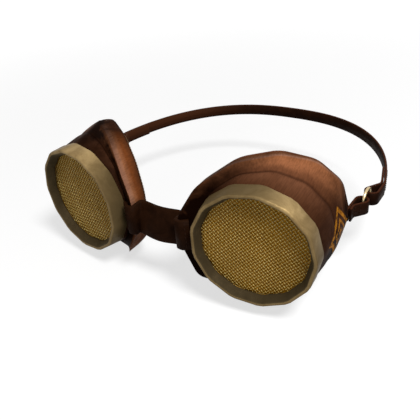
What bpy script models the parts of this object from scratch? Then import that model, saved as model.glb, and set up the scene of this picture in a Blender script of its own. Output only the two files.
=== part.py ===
"""Costume goggles: two faceted leather eyecups with screw-on bezels, mesh-covered amber lenses,
a leather nose bridge, and a thin head strap hung on two brass rings.

Metres. +Z is up, the wearer looks along -Y, and the wearer's left is +X. The origin lies between
the eyes, in the plane of the centres of the two face rims.
"""

import math

import bmesh
import bpy
from mathutils import Matrix, Vector

# Layout of the two eyes
EYE_SPACING = 0.0974
BEZEL_AHEAD_OF_FACE = 0.0338
LENS_TOE = math.radians(9.0)

# Gaps between pieces that touch
SEAT_GAP = 0.0003
THREAD_GAP = 0.0003

# Facets of the cups and bezels: the first corner points to the temple
FACETS = 13
CORNER_CUT_SHARE = 0.11

# Lens stack, from the front
LENS_DIAMETER = 0.050
LENS_THICKNESS = 0.0020
LIP_OVERLAP = 0.0010
LENS_RECESS = 0.0043
LIP_THICKNESS = 0.0006
SCREEN_THICKNESS = 0.0006
SCREEN_PITCH = 0.0041
SCREEN_WIRE = 0.0007
SCREEN_RIM = 0.0013
GASKET_THICKNESS = 0.0010
GASKET_WIDTH = 0.0024

# Collar that the bezel screws on and the leather neck grips
COLLAR_WALL = 0.0008
COLLAR_SET_BACK = 0.0006
SHELF_THICKNESS = 0.0010
SHELF_WIDTH = 0.0030
COLLAR_GRIP = 0.0055

# Bezel
BEZEL_WALL = 0.0009
BEZEL_DEPTH = 0.0082
BEZEL_TAPER = 0.0006
BEZEL_FRONT_LAND = 0.0015
BEZEL_EDGE = 0.0004

# Eyecup leather: loops round the cup, each an ellipse in its own upright plane
LEATHER = 0.0020
NECK_STEP = 0.0002
CREASE_CENTRE = Vector((-0.0014, 0.0165))
CREASE_TOE = math.radians(22.0)
CREASE_HALF_WIDTH = 0.0295
CREASE_HALF_HEIGHT = 0.0298
RIDGE_CENTRE = Vector((-0.0058, 0.0220))
RIDGE_TOE = math.radians(35.5)
RIDGE_HALF_WIDTH = 0.0377
RIDGE_HALF_HEIGHT = 0.0342
RIDGE_ROUND = 0.0010
RIDGE_PULL_SHARES = {
    1: Vector((0, 0.037, 0.040)),
    2: Vector((0.0345, 0.0557, -0.0212)),
    3: Vector((0.0902, 0.0318, -0.0265)),
    4: Vector((0.0531, 0, -0.0265)),
    5: Vector((0.0186, -0.0318, -0.0292)),
    8: Vector((0.0212, -0.1194, 0)),
}
REAR_CENTRE = Vector((-0.0061, 0.0300))
REAR_TOE = math.radians(33.0)
REAR_HALF_WIDTH = 0.0351
REAR_HALF_HEIGHT = 0.0321

# Soft pad round the face opening
PAD_INSIDE_SHARE = 0.45
PAD_ROUND_SHARE = 0.15
PAD_PROUD = 0.0018
PAD_BULK = 0.0084
PAD_RIM = 0.0033
PAD_LIP = 0.0010

# Nose bridge: a leaning band whose ends turn forward along the rolls and lap over the ridges
BRIDGE_THICKNESS = 0.0017
BRIDGE_TOP = 0.0066
BRIDGE_BOTTOM = -0.0092
BRIDGE_END_TOP = 0.0068
BRIDGE_END_BOTTOM = -0.0085
BRIDGE_MIDDLE = -0.0304
BRIDGE_ROOT = -0.0294
BRIDGE_LEAN = 0.0042
BRIDGE_TURN = 0.0017
BRIDGE_LAP = 0.0040
BRIDGE_STEPS = 8
BRIDGE_EDGE = 0.0004

# Side rings, and the leather folds round them
LEATHER_STRIP = 0.0010
STRIP_HEIGHT = 0.0066
STRIP_EDGE = 0.0002
LEAF_GAP = 0.0003
FOLD_STEPS = 12
CURVE_STEPS = 4
FOLD_ROUND = 0.0012
RING_RADIUS = 0.0056
WIRE_RADIUS = 0.0007
RING_STEPS = 32
WIRE_SIDES = 8
TAB_EYE = Vector((0.0759, 0.0219))
TAB_LOOP_CENTRE = Vector((0.0754, 0.0214))
TAB_LOOP_BORE = 0.0023
TAB_FOOT = 0.0042
STRAP_LOOP_CENTRE = Vector((0.0767, 0.0316))
STRAP_LOOP_BORE = 0.0025

# Head strap: a flattened loop behind the cups, each end turned back and sewn inside
STRAP_HALF_WIDTH = 0.0824
STRAP_WIDEST_BACK = 0.0041
STRAP_DEPTH = 0.1087
STRAP_SQUARE_SHARE = 0.847
STRAP_RISE = 0.0013
STRAP_LOOP_BACK = 0.0400
STRAP_STEPS = 57
STRAP_SEAM_BACK = 0.0562
SEAM_STEPS = 4
SEAM_STEP_ANGLE = math.radians(0.5)

# Values that follow from those above
LENS_RADIUS = LENS_DIAMETER / 2
FLAT_OVER_CORNER_SHARE = math.cos(math.pi / FACETS)
COLLAR_BORE = LENS_RADIUS + SEAT_GAP
COLLAR_RADIUS = COLLAR_BORE + COLLAR_WALL
BEZEL_BORE = COLLAR_RADIUS + THREAD_GAP
BEZEL_REAR_CORNER = (BEZEL_BORE + BEZEL_WALL) / FLAT_OVER_CORNER_SHARE
BEZEL_FRONT_CORNER = BEZEL_REAR_CORNER - BEZEL_TAPER
APERTURE_CORNER = LENS_RADIUS - LIP_OVERLAP
SCREEN_FRONT = LENS_RECESS + SEAT_GAP
LENS_FRONT = SCREEN_FRONT + SCREEN_THICKNESS + SEAT_GAP
GASKET_FRONT = LENS_FRONT + LENS_THICKNESS + SEAT_GAP
SHELF_FRONT = GASKET_FRONT + GASKET_THICKNESS + SEAT_GAP
NECK_FRONT = BEZEL_DEPTH + SEAT_GAP
COLLAR_END = NECK_FRONT + COLLAR_GRIP
EYE_CENTRE = Vector((EYE_SPACING / 2, -BEZEL_AHEAD_OF_FACE))
RING_SAGITTA = RING_RADIUS - math.sqrt(RING_RADIUS ** 2 - (STRIP_HEIGHT / 2) ** 2)
EYE_TO_RING_CENTRE = RING_RADIUS - RING_SAGITTA / 2
STRAP_EYE = TAB_EYE + Vector((0, 2 * EYE_TO_RING_CENTRE))
LEAF_STEP = LEATHER_STRIP + LEAF_GAP
UPRIGHT = Vector((0, 0))


def clear_scene():
    for thing in list(bpy.data.objects):
        bpy.data.objects.remove(thing, do_unlink=True)


def material(name, colour, roughness, metallic=0.0):
    made = bpy.data.materials.new(name)
    made.use_nodes = True
    shader = made.node_tree.nodes["Principled BSDF"]
    shader.inputs["Base Color"].default_value = (*colour, 1.0)
    shader.inputs["Roughness"].default_value = roughness
    shader.inputs["Metallic"].default_value = metallic
    return made


SIDE_SHARES = (CORNER_CUT_SHARE, 0.5, 1 - CORNER_CUT_SHARE)
TEMPLE = 0
NOSE = len(SIDE_SHARES) * (FACETS // 2) + 1


def facet_directions():
    """Points round a many-sided outline of radius one, with each corner cut by a small flat."""
    corners = []
    for side in range(FACETS):
        angle = 2 * math.pi * side / FACETS
        corners.append(Vector((math.cos(angle), math.sin(angle))))
    points = []
    for side, corner in enumerate(corners):
        following = corners[(side + 1) % FACETS]
        for share in SIDE_SHARES:
            points.append(corner.lerp(following, share))
    return points


FACETED = facet_directions()
ROUND = [point.normalized() for point in FACETED]


def ridge_pulls():
    """How far each point of the ridge is drawn off the even outline by the corners beside it."""
    pulls = []
    reach = 1 - CORNER_CUT_SHARE
    for side in range(FACETS):
        for share in SIDE_SHARES:
            drawn = Vector((0, 0, 0))
            for corner, pull in RIDGE_PULL_SHARES.items():
                drawn += pull * max(1 - abs(side + share - corner) / reach, 0)
            pulls.append(drawn * RIDGE_HALF_WIDTH)
    return pulls


PULLED = ridge_pulls()


def add_object(name, mesh_maker, finish, location, turn=0.0):
    """Makes the object from a bmesh, with its faces turned outwards."""
    bmesh.ops.recalc_face_normals(mesh_maker, faces=mesh_maker.faces)
    mesh = bpy.data.meshes.new(name)
    mesh_maker.to_mesh(mesh)
    mesh_maker.free()
    made = bpy.data.objects.new(name, mesh)
    bpy.context.scene.collection.objects.link(made)
    made.location = location
    made.rotation_euler = (0, 0, turn)
    mesh.materials.append(finish)
    return made


def shade_round(made, sharp_degrees):
    made.data.shade_smooth()
    made.data.set_sharp_from_angle(angle=math.radians(sharp_degrees))


def ring_of_loops(loops):
    """A closed ring: each loop is joined to the next one, and the last to the first."""
    shape = bmesh.new()
    rows = [[shape.verts.new(point) for point in loop] for loop in loops]
    for row, following in zip(rows, rows[1:] + rows[:1]):
        count = len(row)
        for i in range(count):
            j = (i + 1) % count
            shape.faces.new((row[i], row[j], following[j], following[i]))
    return shape


def mirrored(made, name):
    """The same piece for the wearer's right side."""
    shape = bmesh.new()
    shape.from_mesh(made.data)
    bmesh.ops.scale(shape, verts=shape.verts, vec=(-1, 1, 1))
    bmesh.ops.reverse_faces(shape, faces=shape.faces)
    mesh = bpy.data.meshes.new(name)
    shape.to_mesh(mesh)
    shape.free()
    copy = bpy.data.objects.new(name, mesh)
    bpy.context.scene.collection.objects.link(copy)
    copy.location = Vector((-made.location.x, made.location.y, made.location.z))
    copy.rotation_euler = (0, 0, -made.rotation_euler.z)
    mesh.materials.append(made.data.materials[0])
    return copy


def eye_location():
    return Vector((EYE_CENTRE.x, EYE_CENTRE.y, 0))


def lens_loop(outline, radius, depth):
    """A loop square to the lens axis, in the lens's own frame: X to the temple, Y rearwards."""
    return [Vector((point.x * radius, depth, point.y * radius)) for point in outline]


def build_bezel(finish):
    aperture_back = LENS_RECESS - LIP_THICKNESS
    front_inner = BEZEL_FRONT_CORNER - BEZEL_FRONT_LAND - BEZEL_EDGE
    loops = [
        lens_loop(FACETED, BEZEL_FRONT_CORNER, BEZEL_EDGE),
        lens_loop(FACETED, BEZEL_REAR_CORNER, BEZEL_DEPTH),
        lens_loop(ROUND, BEZEL_BORE, BEZEL_DEPTH),
        lens_loop(ROUND, BEZEL_BORE, LENS_RECESS),
        lens_loop(FACETED, APERTURE_CORNER, LENS_RECESS),
        lens_loop(FACETED, APERTURE_CORNER, aperture_back),
        lens_loop(FACETED, front_inner, BEZEL_EDGE),
        lens_loop(FACETED, front_inner + BEZEL_EDGE, 0),
        lens_loop(FACETED, BEZEL_FRONT_CORNER - BEZEL_EDGE, 0),
    ]
    made = add_object("bezel_left", ring_of_loops(loops), finish, eye_location(), LENS_TOE)
    shade_round(made, 20)
    return made


def build_collar(finish):
    shelf_bore = COLLAR_BORE - SHELF_WIDTH
    front = LENS_RECESS + COLLAR_SET_BACK
    profile = [
        (COLLAR_RADIUS, front),
        (COLLAR_RADIUS, COLLAR_END),
        (COLLAR_BORE, COLLAR_END),
        (COLLAR_BORE, SHELF_FRONT + SHELF_THICKNESS),
        (shelf_bore, SHELF_FRONT + SHELF_THICKNESS),
        (shelf_bore, SHELF_FRONT),
        (COLLAR_BORE, SHELF_FRONT),
        (COLLAR_BORE, front),
    ]
    loops = [lens_loop(ROUND, radius, depth) for radius, depth in profile]
    made = add_object("lens_collar_left", ring_of_loops(loops), finish, eye_location(), LENS_TOE)
    shade_round(made, 30)
    return made


def build_gasket(finish):
    inner = LENS_RADIUS - GASKET_WIDTH
    back = GASKET_FRONT + GASKET_THICKNESS
    profile = [(LENS_RADIUS, GASKET_FRONT), (LENS_RADIUS, back), (inner, back), (inner, GASKET_FRONT)]
    loops = [lens_loop(ROUND, radius, depth) for radius, depth in profile]
    made = add_object("lens_gasket_left", ring_of_loops(loops), finish, eye_location(), LENS_TOE)
    shade_round(made, 30)
    return made


def disc(radius, front, thickness):
    shape = bmesh.new()
    rim = [shape.verts.new(point) for point in lens_loop(ROUND, radius, front)]
    face = shape.faces.new(rim)
    raised = bmesh.ops.extrude_face_region(shape, geom=[face])
    moved = [part for part in raised["geom"] if isinstance(part, bmesh.types.BMVert)]
    bmesh.ops.translate(shape, verts=moved, vec=(0, thickness, 0))
    return shape


def build_lens(finish):
    shape = disc(LENS_RADIUS, LENS_FRONT, LENS_THICKNESS)
    made = add_object("lens_left", shape, finish, eye_location(), LENS_TOE)
    shade_round(made, 30)
    return made


def lattice(reach):
    """A flat square net of crossed wires, one solid, larger than the lens."""
    count = math.ceil(reach / SCREEN_PITCH)
    edges = []
    for wire in range(-count, count + 1):
        middle = wire * SCREEN_PITCH
        edges.append(middle - SCREEN_WIRE / 2)
        edges.append(middle + SCREEN_WIRE / 2)
    shape = bmesh.new()
    grid = [[shape.verts.new((x, SCREEN_FRONT, z)) for z in edges] for x in edges]
    for i in range(len(edges) - 1):
        for j in range(len(edges) - 1):
            is_gap = i % 2 == 1 and j % 2 == 1
            if not is_gap:
                corners = (grid[i][j], grid[i + 1][j], grid[i + 1][j + 1], grid[i][j + 1])
                shape.faces.new(corners)
    raised = bmesh.ops.extrude_face_region(shape, geom=list(shape.faces))
    moved = [part for part in raised["geom"] if isinstance(part, bmesh.types.BMVert)]
    bmesh.ops.translate(shape, verts=moved, vec=(0, SCREEN_THICKNESS, 0))
    quarter_turn = Matrix.Rotation(math.radians(45), 3, "Y")
    bmesh.ops.rotate(shape, verts=shape.verts, cent=(0, 0, 0), matrix=quarter_turn)
    return shape


def guide(name, shape, location, turn):
    """A cutter or a joining piece: a wire outline that isn't part of the object."""
    made = add_object(name, shape, bpy.data.materials["guide"], location, turn)
    made.hide_render = True
    made.display_type = "WIRE"
    return made


def boolean(made, operation, other):
    step = made.modifiers.new(operation.lower(), "BOOLEAN")
    step.operation = operation
    step.solver = "EXACT"
    step.object = other


def apply_modifiers(made):
    """Fixes the evaluated shape, so that the piece can be mirrored."""
    graph = bpy.context.evaluated_depsgraph_get()
    graph.update()
    shape = bmesh.new()
    shape.from_mesh(made.evaluated_get(graph).to_mesh())
    made.modifiers.clear()
    shape.to_mesh(made.data)
    shape.free()


def build_screen(finish):
    """The wire net in its rim, cut round to the lens's size."""
    rim_bore = LENS_RADIUS - SCREEN_RIM
    back = SCREEN_FRONT + SCREEN_THICKNESS
    overlap = SCREEN_RIM / 2
    net = add_object("mesh_screen_left", lattice(LENS_RADIUS), finish, eye_location(), LENS_TOE)
    cut_depth = SCREEN_THICKNESS + 2 * SEAT_GAP
    round_cut = guide("screen_outline", disc(rim_bore + overlap, SCREEN_FRONT - SEAT_GAP, cut_depth),
                      eye_location(), LENS_TOE)
    profile = [(LENS_RADIUS, SCREEN_FRONT), (LENS_RADIUS, back), (rim_bore, back),
               (rim_bore, SCREEN_FRONT)]
    loops = [lens_loop(ROUND, radius, depth) for radius, depth in profile]
    rim = guide("screen_rim", ring_of_loops(loops), eye_location(), LENS_TOE)
    boolean(net, "INTERSECT", round_cut)
    boolean(net, "UNION", rim)
    apply_modifiers(net)
    return net


def cup_loop(centre, toe, half_width, half_height, back=0.0, inward=0.0):
    """A faceted loop round the cup, in the eye's frame but square to the part.

    The plane turns by toe about the vertical, back moves it along its own normal towards the
    face, and inward makes the loop smaller all round.
    """
    across = Vector((math.cos(toe), math.sin(toe)))
    rearwards = Vector((-math.sin(toe), math.cos(toe)))
    middle = centre + rearwards * back
    points = []
    for point in FACETED:
        spot = middle + across * (point.x * (half_width - inward))
        points.append(Vector((spot.x, spot.y, point.y * (half_height - inward))))
    return points


def crease_loop(inward=0.0, back=0.0):
    return cup_loop(CREASE_CENTRE, CREASE_TOE, CREASE_HALF_WIDTH, CREASE_HALF_HEIGHT, back, inward)


def ridge_loop(inward=0.0, back=0.0):
    loop = cup_loop(RIDGE_CENTRE, RIDGE_TOE, RIDGE_HALF_WIDTH, RIDGE_HALF_HEIGHT, back, inward)
    return [point + pull for point, pull in zip(loop, PULLED)]


def rear_loop(inward=0.0, back=0.0):
    return cup_loop(REAR_CENTRE, REAR_TOE, REAR_HALF_WIDTH, REAR_HALF_HEIGHT, back, inward)


def neck_loop(outline, radius, depth):
    """A loop square to the lens axis, turned into the eye's frame."""
    turn = Matrix.Rotation(LENS_TOE, 3, "Z")
    return [turn @ point for point in lens_loop(outline, radius, depth)]


def cup_outside():
    """The loops of the cup's outer face, from the bezel to the face opening."""
    return [
        neck_loop(FACETED, BEZEL_REAR_CORNER - NECK_STEP, NECK_FRONT),
        crease_loop(),
        ridge_loop(RIDGE_ROUND, -RIDGE_ROUND),
        ridge_loop(),
        ridge_loop(RIDGE_ROUND, RIDGE_ROUND),
        rear_loop(),
    ]


def inner_corner(before, corner, after, depth):
    """Where the inside faces of a wall meet, below an outside corner of that wall."""
    arriving = (corner - before).normalized()
    leaving = (after - corner).normalized()
    return corner + (leaving - arriving) * (depth / arriving.cross(leaving).length)


def ridge_inside(depth):
    """The loop below the ridge where the front wall and the roll meet, at that depth."""
    runs = zip(crease_loop(), ridge_loop(), rear_loop())
    return [inner_corner(before, corner, after, depth) for before, corner, after in runs]


def build_cup(finish):
    """The leather shell: its front edge is thinned to grip the collar."""
    neck_bore = COLLAR_RADIUS + SEAT_GAP
    inside = [
        rear_loop(LEATHER),
        ridge_inside(LEATHER),
        neck_loop(ROUND, neck_bore, COLLAR_END),
        neck_loop(ROUND, neck_bore, NECK_FRONT),
    ]
    made = add_object("cup_left", ring_of_loops(cup_outside() + inside), finish, eye_location())
    shade_round(made, 15)
    return made


def inside_loop(inward, share):
    """A loop drawn in from the wall, a share of the way from the face opening to the ridge."""
    rear = rear_loop(LEATHER)
    wall = [start.lerp(end, share) for start, end in zip(rear, ridge_inside(LEATHER))]
    drawn_in = rear_loop(LEATHER + inward)
    return [spot + end - start for spot, start, end in zip(wall, rear, drawn_in)]


def build_pad(finish):
    """A soft rolled rim that rests on the face, lapped over the shell's rear edge."""
    inner = LEATHER + PAD_BULK
    rim_outer = inner - PAD_RIM - PAD_LIP
    rim_inner = inner - PAD_LIP
    behind = [
        (LEATHER + SEAT_GAP, SEAT_GAP),
        (2 * SEAT_GAP, SEAT_GAP),
        (LEATHER, PAD_PROUD / 2),
        (rim_outer, PAD_PROUD),
        (rim_inner, PAD_PROUD),
        (inner, PAD_PROUD - PAD_LIP),
    ]
    loops = [inside_loop(SEAT_GAP, PAD_INSIDE_SHARE)]
    loops += [rear_loop(inward, back) for inward, back in behind]
    loops.append(inside_loop(PAD_BULK, PAD_INSIDE_SHARE - PAD_ROUND_SHARE))
    loops.append(inside_loop(PAD_BULK - PAD_LIP, PAD_INSIDE_SHARE))
    made = add_object("face_pad_left", ring_of_loops(loops), finish, eye_location())
    shade_round(made, 40)
    return made


def in_plan(loop, index):
    """One point of a cup loop, seen from above, in the part's frame."""
    return EYE_CENTRE + Vector((loop[index].x, loop[index].y))


def to_the_right(along):
    return Vector((along.y, -along.x))


def offset_run(points, distance):
    """The run of points moved to its right by the distance, with true corners."""
    moved = []
    for i, spot in enumerate(points):
        before = (spot - points[max(i - 1, 0)]).normalized()
        after = (points[min(i + 1, len(points) - 1)] - spot).normalized()
        along = (before + after).normalized()
        bend = along.dot(after) if i == 0 else along.dot(before)
        moved.append(spot + to_the_right(along) * (distance / bend))
    return moved


def softened(points, reach):
    """The run with each corner replaced by a short curve."""
    run = [points[0]]
    for before, spot, after in zip(points, points[1:], points[2:]):
        back = before - spot
        ahead = after - spot
        start = spot + back.normalized() * min(reach, back.length / 3)
        end = spot + ahead.normalized() * min(reach, ahead.length / 3)
        for step in range(CURVE_STEPS + 1):
            share = step / CURVE_STEPS
            run.append(start.lerp(spot, share).lerp(spot.lerp(end, share), share))
    run.append(points[-1])
    return run


def ribbon(stations, thickness, edge):
    """A strip of leather on edge, closed at both ends, with its long edges cut off small.

    Each station is its place in plan, its top and bottom heights, and how far the top leans off
    the bottom.
    """
    half = thickness / 2
    places = [station[0] for station in stations]
    rights = offset_run(places, half)
    shape = bmesh.new()
    rows = []
    for (spot, top, bottom, lean), right in zip(stations, rights):
        out = (right - spot) / half
        middle = (top + bottom) / 2
        section = [
            (half, top - edge), (half - edge, top), (edge - half, top), (-half, top - edge),
            (-half, bottom + edge), (edge - half, bottom), (half - edge, bottom), (half, bottom + edge),
        ]
        row = []
        for off, z in section:
            place = spot + out * off + lean * ((z - middle) / (top - bottom))
            row.append(shape.verts.new((place.x, place.y, z)))
        rows.append(row)
    for row, following in zip(rows, rows[1:]):
        for i in range(len(row)):
            j = (i + 1) % len(row)
            shape.faces.new((row[i], row[j], following[j], following[i]))
    shape.faces.new(rows[0])
    shape.faces.new(rows[-1])
    return shape


def bridge_half():
    """Stations from the middle of the bridge to the end in front of the left cup's ridge."""
    profile = [
        in_plan(rear_loop(), NOSE),
        in_plan(ridge_loop(), NOSE),
        in_plan(ridge_loop(RIDGE_ROUND, -RIDGE_ROUND), NOSE),
        in_plan(crease_loop(), NOSE),
    ]
    over = offset_run(profile, SEAT_GAP + BRIDGE_THICKNESS / 2)
    rearward = (over[0] - over[1]).normalized()
    root = over[1] + rearward * ((BRIDGE_ROOT - over[1].y) / rearward.y)
    end = over[2] + (over[3] - over[2]).normalized() * BRIDGE_LAP
    turns = softened([Vector((0, root.y)), root, over[1], over[2], end], BRIDGE_TURN)[1:]
    free_length = turns[0].x
    run = []
    for step in range(BRIDGE_STEPS):
        share = step / BRIDGE_STEPS
        bow = (BRIDGE_MIDDLE - BRIDGE_ROOT) * (1 - share ** 2) ** 2
        run.append(Vector((free_length * share, root.y + bow)))
    stations = []
    leaning = 1
    for spot in run + turns:
        ease = min(spot.x / free_length, 1) ** 2
        top = BRIDGE_TOP + (BRIDGE_END_TOP - BRIDGE_TOP) * ease
        bottom = BRIDGE_BOTTOM + (BRIDGE_END_BOTTOM - BRIDGE_BOTTOM) * ease
        if spot.x > free_length:
            leaning = min(leaning, max((spot.y - over[1].y) / (root.y - over[1].y), 0))
        lean = Vector((rearward.x * ease, rearward.y)) * (BRIDGE_LEAN * leaning)
        stations.append((spot, top, bottom, lean))
    return stations


def build_bridge(finish):
    left = bridge_half()
    right = []
    for spot, top, bottom, lean in left[1:]:
        right.append((Vector((-spot.x, spot.y)), top, bottom, Vector((-lean.x, lean.y))))
    shape = ribbon(right[::-1] + left, BRIDGE_THICKNESS, BRIDGE_EDGE)
    made = add_object("bridge", shape, finish, Vector((0, 0, 0)))
    shade_round(made, 40)
    return made


def tangent_angle(centre, radius, spot, sign):
    """The angle on a circle where a straight run from spot touches it, on one side."""
    to_spot = spot - centre
    base = math.atan2(to_spot.y, to_spot.x)
    return base + sign * math.acos(radius / to_spot.length)


def fold_round(centre, radius, first, last):
    """The run clockwise round a circle, for a strip that comes from first and goes to last."""
    start = tangent_angle(centre, radius, first, -1)
    end = tangent_angle(centre, radius, last, 1)
    while end > start:
        end -= 2 * math.pi
    points = []
    for step in range(FOLD_STEPS + 1):
        angle = start + (end - start) * step / FOLD_STEPS
        points.append(centre + radius * Vector((math.cos(angle), math.sin(angle))))
    return points


def strip_stations(run, lift=None):
    """Stations of a narrow strip of even height along the run."""
    stations = []
    for spot in run:
        middle = lift(spot) if lift else 0
        stations.append((spot, middle + STRIP_HEIGHT / 2, middle - STRIP_HEIGHT / 2, UPRIGHT))
    return stations


def build_tab(finish):
    """A strip folded round the ring, both its leaves sewn to the roll behind the cup's ridge."""
    rear = in_plan(rear_loop(), TEMPLE)
    ridge = in_plan(ridge_loop(RIDGE_ROUND, RIDGE_ROUND), TEMPLE)
    forward = (ridge - rear).normalized()
    outward = to_the_right(-forward)
    inner_heel = rear + outward * (SEAT_GAP + LEATHER_STRIP / 2)
    outer_heel = inner_heel + outward * LEAF_STEP
    radius = TAB_LOOP_BORE + LEATHER_STRIP / 2
    fold = fold_round(TAB_LOOP_CENTRE, radius, inner_heel, outer_heel)
    entry = softened([inner_heel + forward * TAB_FOOT, inner_heel, fold[0]], FOLD_ROUND)
    exit_run = softened([fold[-1], outer_heel, outer_heel + forward * TAB_FOOT], FOLD_ROUND)
    run = entry[:-1] + fold + exit_run[1:]
    shape = ribbon(strip_stations(run), LEATHER_STRIP, STRIP_EDGE)
    bmesh.ops.translate(shape, verts=shape.verts, vec=(-TAB_EYE.x, -TAB_EYE.y, 0))
    made = add_object("side_tab_left", shape, finish, Vector((TAB_EYE.x, TAB_EYE.y, 0)))
    shade_round(made, 40)
    return made


def build_ring(finish):
    """A round wire ring, upright, with its origin on the tab's eye, where it swings."""
    loops = []
    for side in range(WIRE_SIDES):
        turn = 2 * math.pi * side / WIRE_SIDES
        radius = RING_RADIUS + WIRE_RADIUS * math.cos(turn)
        loop = []
        for step in range(RING_STEPS):
            angle = 2 * math.pi * step / RING_STEPS
            y = EYE_TO_RING_CENTRE + radius * math.cos(angle)
            loop.append(Vector((WIRE_RADIUS * math.sin(turn), y, radius * math.sin(angle))))
        loops.append(loop)
    location = Vector((TAB_EYE.x, TAB_EYE.y, 0))
    made = add_object("side_ring_left", ring_of_loops(loops), finish, location)
    shade_round(made, 60)
    return made


def strap_point(angle):
    """A point on the loop of the strap: angle 0 is at the wearer's left, a half turn the right."""
    across = abs(math.cos(angle)) ** STRAP_SQUARE_SHARE * STRAP_HALF_WIDTH
    back = math.sin(angle) ** STRAP_SQUARE_SHARE * STRAP_DEPTH
    return Vector((math.copysign(across, math.cos(angle)), STRAP_WIDEST_BACK + back))


def strap_angle_at(back):
    return math.asin(((back - STRAP_WIDEST_BACK) / STRAP_DEPTH) ** (1 / STRAP_SQUARE_SHARE))


def strap_lift(spot):
    """The strap climbs slightly towards the back of the head."""
    span = STRAP_WIDEST_BACK + STRAP_DEPTH - STRAP_EYE.y
    return STRAP_RISE * max(spot.y - STRAP_EYE.y, 0) / span


def strap_leaf(back):
    """A point of the turned-back leaf, inside the strap."""
    angle = strap_angle_at(back)
    spot = strap_point(angle)
    behind = strap_point(angle + SEAM_STEP_ANGLE)
    inward = -to_the_right((spot - behind).normalized()).normalized()
    if inward.x > 0:
        inward = -inward
    return spot + inward * LEAF_STEP


def build_strap(finish):
    """One long strip: both ends go round their rings and come back inside to the seams."""
    start = strap_angle_at(STRAP_LOOP_BACK)
    leaf = []
    for step in range(SEAM_STEPS + 1):
        back = STRAP_LOOP_BACK + (STRAP_SEAM_BACK - STRAP_LOOP_BACK) * step / SEAM_STEPS
        leaf.append(strap_leaf(back))
    radius = STRAP_LOOP_BORE + LEATHER_STRIP / 2
    fold = fold_round(STRAP_LOOP_CENTRE, radius, strap_point(start), leaf[0])
    left = fold + softened([fold[-1]] + leaf, FOLD_ROUND)[1:]
    right = [Vector((-spot.x, spot.y)) for spot in left]
    around = []
    for step in range(STRAP_STEPS + 1):
        around.append(strap_point(start + (math.pi - 2 * start) * step / STRAP_STEPS))
    run = right[::-1] + around[::-1] + left
    shape = ribbon(strip_stations(run, strap_lift), LEATHER_STRIP, STRIP_EDGE)
    bmesh.ops.translate(shape, verts=shape.verts, vec=(-STRAP_EYE.x, -STRAP_EYE.y, 0))
    made = add_object("strap", shape, finish, Vector((STRAP_EYE.x, STRAP_EYE.y, 0)))
    shade_round(made, 40)
    return made


def main():
    clear_scene()
    cup_leather = material("cup_leather", (0.16, 0.045, 0.018), 0.45)
    dark_leather = material("dark_leather", (0.020, 0.008, 0.005), 0.60)
    strap_leather = material("strap_leather", (0.045, 0.016, 0.010), 0.40)
    bezel_metal = material("bezel_metal", (0.27, 0.19, 0.10), 0.45, 0.6)
    brass = material("brass", (0.62, 0.46, 0.22), 0.30, 1.0)
    screen_wire = material("screen_wire", (0.30, 0.26, 0.12), 0.40, 0.7)
    amber_glass = material("amber_glass", (0.35, 0.16, 0.01), 0.10)
    rubber = material("rubber", (0.02, 0.02, 0.02), 0.80)
    material("guide", (1.0, 1.0, 1.0), 0.5)

    left_pieces = [
        build_bezel(bezel_metal),
        build_screen(screen_wire),
        build_lens(amber_glass),
        build_gasket(rubber),
        build_collar(brass),
        build_cup(cup_leather),
        build_pad(dark_leather),
    ]
    build_bridge(dark_leather)
    left_pieces += [build_tab(strap_leather), build_ring(brass)]
    for piece in left_pieces:
        mirrored(piece, piece.name.replace("_left", "_right"))
    build_strap(strap_leather)


main()
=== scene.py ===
"""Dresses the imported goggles: leather, aged metal, woven wire and amber glass, on a pale floor."""

import math

import bmesh
import bpy
from mathutils import Matrix, Vector
from mathutils.bvhtree import BVHTree


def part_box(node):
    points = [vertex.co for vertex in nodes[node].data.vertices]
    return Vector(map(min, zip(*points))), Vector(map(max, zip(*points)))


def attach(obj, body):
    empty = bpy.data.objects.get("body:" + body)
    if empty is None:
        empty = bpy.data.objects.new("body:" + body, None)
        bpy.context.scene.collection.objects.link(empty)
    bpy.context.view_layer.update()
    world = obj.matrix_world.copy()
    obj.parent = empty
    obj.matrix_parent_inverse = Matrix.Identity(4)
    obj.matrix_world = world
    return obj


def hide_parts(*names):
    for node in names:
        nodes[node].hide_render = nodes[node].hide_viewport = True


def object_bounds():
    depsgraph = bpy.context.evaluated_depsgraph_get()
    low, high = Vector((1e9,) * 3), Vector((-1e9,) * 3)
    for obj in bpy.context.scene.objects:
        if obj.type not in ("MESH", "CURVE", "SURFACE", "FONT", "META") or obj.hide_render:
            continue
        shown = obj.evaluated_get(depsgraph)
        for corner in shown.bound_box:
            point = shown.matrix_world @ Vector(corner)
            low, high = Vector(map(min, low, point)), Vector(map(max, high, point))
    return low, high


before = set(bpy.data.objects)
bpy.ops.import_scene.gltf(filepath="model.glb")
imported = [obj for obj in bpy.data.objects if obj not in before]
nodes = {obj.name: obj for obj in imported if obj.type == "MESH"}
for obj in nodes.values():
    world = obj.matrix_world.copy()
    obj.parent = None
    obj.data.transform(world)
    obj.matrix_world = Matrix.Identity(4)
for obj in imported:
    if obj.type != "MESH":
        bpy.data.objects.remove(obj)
cad_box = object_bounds()

# Every length is in metres. Side 1 is the wearer's left, side -1 the wearer's right.
SIDE_NAMES = {1: "left", -1: "right"}

# Lens stack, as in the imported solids: EYE is the middle of the left bezel's face, and depths run
# back from there along the lens axis
EYE = Vector((0.0487, -0.0338, 0))
TOE = math.radians(9.0)
SIDES = 13
LENS_RADIUS = 0.025
SCREEN_FRONT = 0.0046
SCREEN_THICK = 0.0006
NECK_FRONT = 0.0085
COLLAR_END = 0.0140
NECK_CORNER = 0.0277
NECK_BORE = 0.0264

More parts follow.
